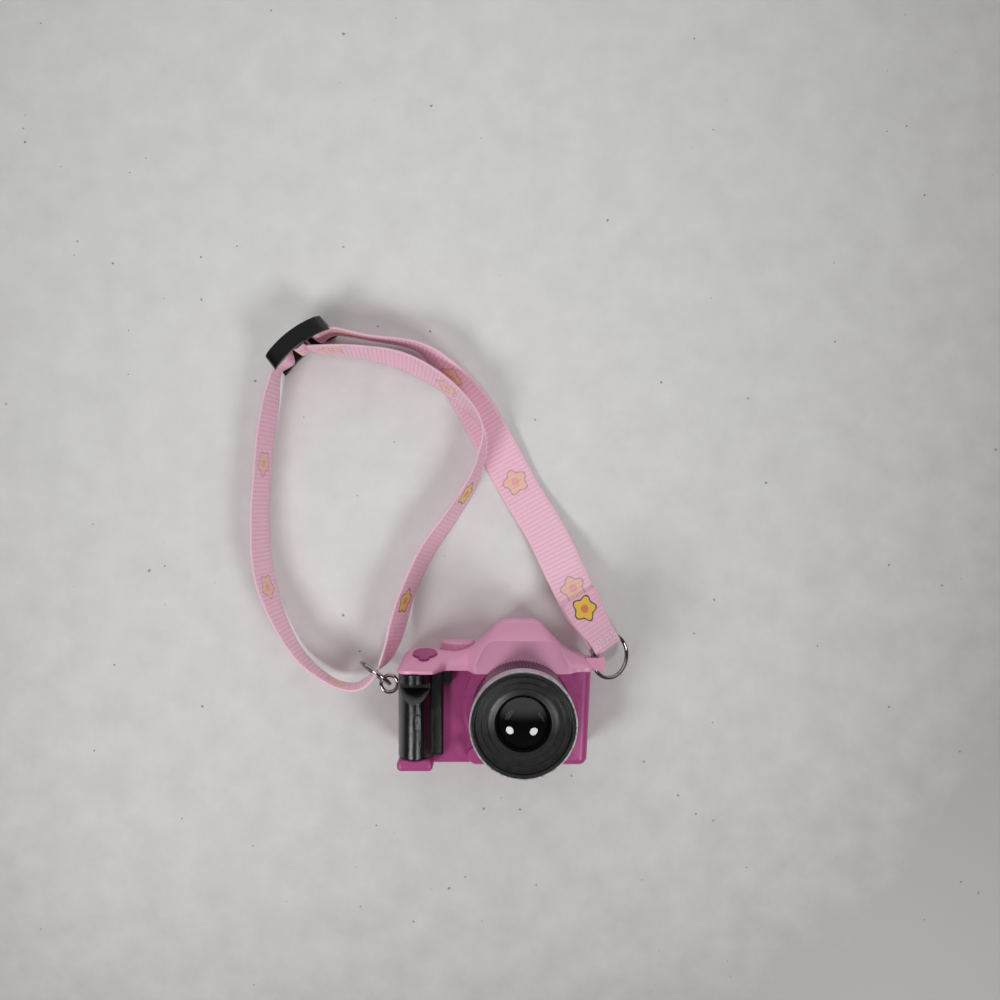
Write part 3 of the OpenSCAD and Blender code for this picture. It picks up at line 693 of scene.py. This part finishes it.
FAR_RUN = Webbing(
    (
        RoutePoint(0.0142, 0.0256, 0.0084, -14, WEB, FOLD_BEARING),
        RoutePoint(0.0159, 0.022, 0.0095, -22, WEB, FOLD_BEARING),
        RoutePoint(0.0179, 0.0187, 0.0103, -29.7, 0.0092, FOLD_BEARING),
        RoutePoint(0.0195, 0.0163, 0.01, -29.7, FOLD_WIDTH, FOLD_BEARING),
        RoutePoint(0.0214, 0.0133, 0.0087, -29.7, FOLD_WIDTH, FOLD_BEARING),
        RoutePoint(0.0216, 0.0128, 0.0083, -29.7, FOLD_WIDTH, FOLD_BEARING),
        RoutePoint(0.0213, 0.0125, 0.0076, -29.7, FOLD_WIDTH, FOLD_BEARING),
        RoutePoint(0.0208, 0.0127, 0.0072, -29.7, FOLD_WIDTH, FOLD_BEARING),
        RoutePoint(0.0204, 0.0133, 0.0071, -29.7, FOLD_WIDTH, FOLD_BEARING),
        RoutePoint(0.0187, 0.0163, 0.0083, -29.7, FOLD_WIDTH, FOLD_BEARING),
        RoutePoint(0.0175, 0.0187, 0.0095, -29.7, 0.0092, FOLD_BEARING),
        RoutePoint(0.0155, 0.022, 0.0088, -22, WEB, FOLD_BEARING),
        RoutePoint(0.0138, 0.0256, 0.0077, -14, WEB, FOLD_BEARING),
        RoutePoint(0.0108, 0.032, 0.0052, -5, WEB),
        RoutePoint(0.0061, 0.0418, 0.002, 0, WEB),
        RoutePoint(0, 0.0518, 0.0004, 4, WEB),
        RoutePoint(-0.0062, 0.0631, 0.0003, 10, WEB),
        RoutePoint(-0.0116, 0.0725, 0.0003, 24, WEB),
        RoutePoint(-0.0191, 0.0818, 0.0004, 56, WEB),
        RoutePoint(-0.0259, 0.0876, 0.0006, 83, WEB),
        RoutePoint(-0.0377, 0.0897, 0.0012, 91, WEB),
        by_slider(0.0091, -0.003),
        by_slider(0.0064, -0.00175),
        by_slider(0.0043, -0.0016),
        by_slider(0.0027, 0.0019),
        by_slider(0.0016, 0.0024),
        by_slider(0.00005, 0.00245),
    )
)
GRIP_RUN = Webbing(
    (
        by_slider(-0.00005, 0.00245),
        by_slider(-0.0016, 0.0024),
        by_slider(-0.0027, 0.0019),
        by_slider(-0.0043, -0.0016),
        by_slider(-0.0064, -0.00175),
        by_slider(-0.009, -0.002),
        RoutePoint(-0.0622, 0.0741, 0.001, 80, WEB),
        RoutePoint(-0.0638, 0.0642, 0.0005, 79, WEB),
        RoutePoint(-0.0647, 0.0543, 0.0002, 77, WEB),
        RoutePoint(-0.0652, 0.0443, 0.0002, 76, WEB),
        RoutePoint(-0.0644, 0.0319, 0.0002, 76, WEB),
        RoutePoint(-0.0609, 0.0208, 0.0006, 80, WEB),
        RoutePoint(-0.0549, 0.0105, 0.0012, 88, WEB),
        RoutePoint(-0.0473, 0.0045, 0.0023, 93, 0.0094),
        RoutePoint(-0.0418, 0.0031, 0.0042, 88, 0.0078),
        RoutePoint(-0.0384, 0.0043, 0.0066, 78, 0.0062),
        RoutePoint(-0.0355, 0.0069, 0.0071, 84, 0.006),
        RoutePoint(-0.0334, 0.0099, 0.0064, 104, 0.0066),
        RoutePoint(-0.0317, 0.0137, 0.0044, 109, 0.0082),
        RoutePoint(-0.0304, 0.0187, 0.0022, 110, WEB),
        RoutePoint(-0.0282, 0.0262, 0.0008, 109, WEB),
        RoutePoint(-0.0235, 0.0364, 0.0003, 109, WEB),
        RoutePoint(-0.0178, 0.0446, 0.0003, 106, WEB),
        RoutePoint(-0.0118, 0.0542, 0.0008, 104, WEB),
        RoutePoint(-0.0094, 0.062, 0.002, 97, WEB),
        RoutePoint(-0.0095, 0.0674, 0.0026, 88, WEB),
        RoutePoint(-0.0131, 0.0726, 0.0026, 77, WEB),
        RoutePoint(-0.0203, 0.079, 0.0014, 73, WEB),
        RoutePoint(-0.03, 0.0841, 0.001, 73, WEB),
        RoutePoint(-0.0416, 0.0863, 0.0014, 80, WEB),
        by_slider(0.0012, -0.0024),
    )
)
BAR_LOOP_MM = (
    (1.1, -1.65),
    (-1.1, -1.65),
    (-1.6, -1.1),
    (-1.6, 1.1),
    (-1.1, 1.65),
    (1.1, 1.65),
    (1.6, 1.1),
    (1.6, -1.1),
)
BAR_LOOP = Webbing(tuple(by_slider(u * MM, n * MM) for u, n in BAR_LOOP_MM))


@dataclass
class RibbonStrap:
    """The woven strap: a run to the far ring, a run through the grip ring, and the slider's loop."""

    step: float = 0.6 * MM
    lanes: int = 10
    least_width: float = 0.001
    most_slack: float = 0.7
    crown_flat: float = 0.12 * MM
    crown_gathered: float = 1.1 * MM
    ripple_height: float = 0.1 * MM
    ripple_wave: float = 5.5 * MM
    stitch_length: float = 1.15 * MM
    stitch_thick: float = 0.16 * MM
    stitch_sink: float = 0.03 * MM
    stitch_rows_mm: tuple[float, ...] = (12.3, 13.0, 13.7)
    stitch_count: int = 6
    stitch_reach: float = 0.38
    stitch_shift: float = 0.25
    stitch_slant: float = 0.35
    far_start: tuple[float, float, float] = (0.0138, 0.0256, 0.008)
    far_end: tuple[float, float, float] = (0.0195, 0.0155, 0.008)
    grip_start: tuple[float, float, float] = (-0.040, 0.026, 0.005)
    grip_end: tuple[float, float, float] = (-0.037, 0.008, 0.010)
    finishes: list[bpy.types.Material] = field(default_factory=list)

    def stations(self, run: Webbing) -> list[Station]:
        """Spaces cross-sections evenly along a run.

        Args:
            run: The route of the ribbon.

        Returns:
            The cross-sections from the run's start to its end.
        """
        middles = run.middles()
        widths = [run.across(i) for i in range(len(middles))]
        found: list[Station] = []
        travel = 0.0
        last = middles[0]
        for i in range(len(middles) - 1):
            span = (middles[i + 1] - middles[i]).length
            count = max(2, round(span / self.step))
            for k in range(count + (i == len(middles) - 2)):
                t = k / count
                centre = smooth_between(middles, i, t)
                width = smooth_between(widths, i, t)
                travel += (centre - last).length
                last = centre
                found.append(Station(centre, width, Vector(), travel))
        for i, station in enumerate(found):
            ahead = found[min(i + 1, len(found) - 1)].centre - found[max(i - 1, 0)].centre
            station.normal = station.width.cross(ahead).normalized()
        return found

    def crown(self, at: Station, share: float) -> float:
        """Works out how far the strip bulges, which is more where it is gathered.

        Args:
            at: Cross-section of the run.
            share: Place across the strip, from -0.5 to 0.5.

        Returns:
            Distance along the cross-section's normal.
        """
        slack = max(0.0, WEB / max(at.width.length, self.least_width) - 1)
        height = self.crown_flat + self.crown_gathered * min(slack, self.most_slack)
        return height * (1 - 4 * share * share) * 0.5

    def strip(self, name: str, run: Webbing) -> tuple[bpy.types.Object, list[Station]]:
        """Bends a flat grid along a run and gives it the ribbon's thickness.

        Args:
            name: Name of the piece.
            run: The route of the ribbon.

        Returns:
            The piece and its cross-sections.
        """
        stations = self.stations(run)
        bm = bmesh.new()
        rows = len(stations) - 1
        bmesh.ops.create_grid(bm, x_segments=rows, y_segments=self.lanes, size=0.5)
        flat_map = bm.loops.layers.uv.new(STRIP_MAP)
        spots = {}
        for vert in bm.verts:
            station = stations[round((vert.co.x + 0.5) * rows)]
            share = vert.co.y
            spots[vert] = (station.travel / MM, share * WEB / MM)
            ripple = self.ripple_height * math.sin(station.travel / self.ripple_wave) * share * 2
            lift = self.crown(station, share) + ripple
            vert.co = station.centre + station.width * share + station.normal * lift
        for face in bm.faces:
            face.smooth = True
            for loop in face.loops:
                loop[flat_map].uv = spots[loop.vert]
        middle = bm.faces[:][len(bm.faces) // 2]
        bm.normal_update()
        row = min(stations, key=lambda s: (s.centre - middle.calc_center_median()).length)
        if middle.normal.dot(row.normal) < 0:
            bmesh.ops.reverse_faces(bm, faces=bm.faces)
        piece = mesh_piece(name, bm, self.finishes)
        wall = piece.modifiers.new("thickness", "SOLIDIFY")
        wall.thickness = WEB_THICK
        wall.offset = 0.0
        wall.material_offset = Side.PRINTED.value
        wall.material_offset_rim = Side.SELVEDGE.value
        wall.use_rim = True
        return piece, stations

    def stitches(
        self, name: str, spots: list[tuple[Vector, Vector]], finish: bpy.types.Material
    ) -> bpy.types.Object:
        """Lays short rounded threads.

        Args:
            name: Name of the piece.
            spots: Middle and direction of each stitch.
            finish: Material of the thread.

        Returns:
            The piece that holds every stitch.
        """
        bm = bmesh.new()
        size = Matrix.Diagonal((self.stitch_length / 2, self.stitch_thick, self.stitch_thick, 1.0))
        for middle, way in spots:
            turn = way.to_track_quat("X", "Z").to_matrix().to_4x4()
            lay = Matrix.Translation(middle) @ turn @ size
            bmesh.ops.create_icosphere(bm, subdivisions=2, radius=1.0, matrix=lay)
        for face in bm.faces:
            face.smooth = True
        return mesh_piece(name, bm, [finish])

    def bar_stitches(self, stations: list[Station]) -> list[tuple[Vector, Vector]]:
        """Works out the bar of stitches sewn through both layers beside a fold.

        Args:
            stations: Cross-sections of the run.

        Returns:
            Middle and direction of each stitch.
        """
        spots = []
        for i, row_mm in enumerate(self.stitch_rows_mm):
            at = min(stations, key=lambda s: abs(s.travel / MM - row_mm))
            for k in range(self.stitch_count):
                place = (k + self.stitch_shift * (i % 2)) / (self.stitch_count - 1 + self.stitch_shift)
                share = -self.stitch_reach + 2 * self.stitch_reach * place
                slant = self.stitch_slant * math.sin(9.1 * k + 4.7 * i)
                way = at.width.normalized() + at.width.cross(at.normal).normalized() * slant
                spots.append((self.above(at, share), way))
        return spots

    def above(self, at: Station, share: float) -> Vector:
        """Works out a point just over the printed face of a cross-section.

        Args:
            at: Cross-section of the run.
            share: Place across the strip, from -0.5 to 0.5.

        Returns:
            The point.
        """
        lift = self.crown(at, share) - WEB_THICK / 2 - self.stitch_sink
        return at.centre + at.width * share + at.normal * lift

    def build(self) -> None:
        """Builds the strap, hides the imported strap nodes and ties the slider's loop to the camera."""
        self.finishes = [
            WovenRibbon("grosgrain_back", "#facede", "#e9b5cb", 0.38).build(),
            WovenRibbon("grosgrain_printed", "#f6c4d8", "#e7adc4", 0.95, sheen=0.5).build(),
            MouldedPlastic("selvedge_yarn", "#f8d3e2", "#edbfd2", roughness=0.6).build(),
        ]
        thread = MouldedPlastic("polyester_thread", "#f4eef0", "#e3d8dc", roughness=0.7).build()
        far, far_stations = self.strip("ribbon_far_run", FAR_RUN)
        grip, grip_stations = self.strip("ribbon_grip_run", GRIP_RUN)
        loop, _ = self.strip("ribbon_bar_loop", BAR_LOOP)
        fold = self.stitches("fold_stitches", self.bar_stitches(far_stations), thread)
        for piece, node in ((far, "strap_far_run"), (grip, "strap_grip_run"), (loop, "strap_bar_loop")):
            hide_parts(node)
        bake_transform(far)
        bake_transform(grip)
        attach(loop, "camera")
        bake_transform(fold)
        for stations, name in ((far_stations, "far run"), (grip_stations, "grip run")):
            LOG.info("%s is %.1f mm long", name, stations[-1].travel / MM)


@dataclass
class ToyCamera:
    """The moulded toy: finishes for each of its solids."""

    smooth_angle: float = 32.0
    join_mm: float = 0.002

    def shading(self) -> bpy.types.NodeTree:
        """Returns a modifier tree that joins triangles and shades them smooth up to an angle."""
        tree = bpy.data.node_groups.new("smooth_by_angle", "GeometryNodeTree")
        for way in ("INPUT", "OUTPUT"):
            tree.interface.new_socket("Geometry", in_out=way, socket_type="NodeSocketGeometry")
        start = add(tree, "NodeGroupInput").outputs[0]
        near = {"Geometry": start, "Distance": self.join_mm * MM}
        joined = add(tree, "GeometryNodeMergeByDistance", near).outputs[0]
        stored = {"Geometry": joined, "Name": "custom_normal"}
        plain = add(tree, "GeometryNodeRemoveAttribute", stored).outputs[0]
        every = {"Geometry": plain, "Shade Smooth": True}
        faces = add(tree, "GeometryNodeSetShadeSmooth", every).outputs[0]
        angle = add(tree, "GeometryNodeInputMeshEdgeAngle").outputs[0]
        gentle = calc(tree, "LESS_THAN", angle, math.radians(self.smooth_angle))
        soft = {"Geometry": faces, "Shade Smooth": gentle}
        edges = add(tree, "GeometryNodeSetShadeSmooth", soft, domain="EDGE").outputs[0]
        add(tree, "NodeGroupOutput", {0: edges})
        return tree

    def finishes(self) -> dict[str, bpy.types.Material]:
        """Returns the finish of each node."""
        deep = MouldedPlastic("abs_deep_pink", "#a8447f", "#a03e77", roughness=0.33).build()
        pale = MouldedPlastic("abs_pale_pink", "#eba6c6", "#e59fc0", roughness=0.34).build()
        black = MouldedPlastic("abs_black", "#0b0b0d", "#08080a", roughness=0.22).build()
        satin = MouldedPlastic(
            "abs_black_satin", "#101012", "#0d0d0f", roughness=0.36, edge_mm=0.35
        ).build()
        grip = MouldedPlastic(
            "abs_black_textured",
            "#060607",
            "#040405",
            roughness=0.22,
            grain_mm=0.3,
            grain_height_mm=0.05,
            shine=0.8,
        ).build()
        steel = PlatedMetal("nickel_plated_wire", "#b0acaa", "#8d8885", roughness=0.1).build()
        silver = PlatedMetal("silver_paint", "#d2d1d3", "#bfbdc0", roughness=0.4, metallic=0.9).build()
        clear = ClearPlastic("clear_acrylic", "#3b373d").build()
        epoxy = ClearPlastic("clear_epoxy", "#f6f7f9").build()
        board = MouldedPlastic("board_green", "#2f6b3c", "#29602f", roughness=0.4).build()
        brass = PlatedMetal("sprung_brass", "#c9ab5c", "#a98a45").build()
        cream = MouldedPlastic("acetal_cream", "#d8d4c8", "#cfcabd", roughness=0.4).build()
        return {
            "front_shell": deep,
            "rear_cover": deep,
            "top_cover": pale,
            "grip_panel": grip,
            "shutter_button": deep,
            "button_switch": black,
            "switch_plunger": cream,
            "mode_dial": pale,
            "lens_barrel": black,
            "bright_ring": silver,
            "front_bezel": satin,
            "lens_dome": clear,
            "led": epoxy,
            "circuit_board": board,
            "speaker": black,
            "battery_cells": steel,
            "battery_contacts": brass,
            "battery_door": deep,
            "door_screw": steel,
            "case_screws": steel,
            "strap_eye": steel,
            "grip_ring": steel,
            "far_ring": steel,
            "slider_buckle": black,
        }

    def dress(self, frame: dict[str, Any]) -> None:
        """Gives every solid its finish.

        Args:
            frame: The loaded frame.
        """
        finishes = self.finishes()
        shading = self.shading()
        for name, finish in finishes.items():
            node = frame["nodes"][name]
            node.data.materials.clear()
            node.data.materials.append(finish)
            node.modifiers.new("shading", "NODES").node_group = shading
            LOG.info("%s takes %s", name, finish.name)


@dataclass(frozen=True)
class Lamp:
    """A soft round lamp: its name, its direction from the toy and its strength in watts."""

    name: str
    way: tuple[float, float, float]
    watts: float
    reach: float = 0.5
    size: float = 0.17

    def build(self) -> None:
        """Hangs the lamp so that it looks at the toy."""
        data = bpy.data.lights.new(self.name, "AREA")
        data.shape = "DISK"
        data.size = self.size
        data.energy = self.watts
        way = Vector(self.way)
        lamp = stand(self.name, data)
        lamp.location = way.normalized() * self.reach
        lamp.rotation_euler = way.to_track_quat("Z", "Y").to_euler()


@dataclass
class Studio:
    """Camera, table, lamps and room."""

    eye: tuple[float, float, float] = (-0.00512, 0.0493, 0.255)
    lens_mm: float = 36.0
    sensor_mm: float = 36.0
    nearest: float = 0.01
    table_half: float = 1.5
    table_drop: float = 0.02 * MM
    lamps: tuple[Lamp, ...] = (
        Lamp("left_lamp", (-0.54, -0.42, 0.73), 1.0),
        Lamp("right_lamp", (0.45, -0.46, 0.78), 0.9),
    )
    sky_low: float = 0.06
    sky_high: float = 0.85
    sky_from: float = -0.1
    sky_to: float = 0.6

    def view(self) -> None:
        """Sets up the camera."""
        scene = bpy.context.scene
        scene.view_settings.view_transform = "Standard"
        data = bpy.data.cameras.new("view_from_above")
        data.sensor_width = self.sensor_mm
        data.lens = self.lens_mm
        data.clip_start = self.nearest
        camera = stand("view_from_above", data)
        camera.location = self.eye
        scene.camera = camera

    def table(self) -> None:
        """Lays the tabletop."""
        bm = bmesh.new()
        lower = Matrix.Translation((0, 0, -self.table_drop))
        bmesh.ops.create_grid(bm, x_segments=1, y_segments=1, size=self.table_half, matrix=lower)
        table = mesh_piece("table", bm, [PaintedBoard("painted_board").build()])

    def room(self) -> None:
        """Lights the room from its far side."""
        world = bpy.data.worlds.new("soft_room")
        bpy.context.scene.world = world
        world.use_nodes = True
        tree = world.node_tree
        tree.nodes.clear()
        way = add(tree, "ShaderNodeTexCoord").outputs["Generated"]
        depth = add(tree, "ShaderNodeSeparateXYZ", {0: way}).outputs[1]
        window = {0: depth, 1: self.sky_from, 2: self.sky_to, 3: self.sky_low, 4: self.sky_high}
        glow = add(tree, "ShaderNodeMapRange", window, interpolation_type="SMOOTHSTEP").outputs[0]
        light = {"Color": (1.0, 1.0, 1.0, 1.0), "Strength": glow}
        room = add(tree, "ShaderNodeBackground", light).outputs[0]
        add(tree, "ShaderNodeOutputWorld", {"Surface": room})

    def build(self) -> None:
        """Sets up the view, the table and the light."""
        self.view()
        self.table()
        for lamp in self.lamps:
            lamp.build()
        self.room()


def main() -> None:
    """Builds the studio, dresses the toy and lays its strap."""
    logging.basicConfig(level=logging.INFO, format="%(name)s: %(message)s")
    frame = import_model()
    Studio().build()
    ToyCamera().dress(frame)
    RibbonStrap().build()


if __name__ == "__main__":
    main()
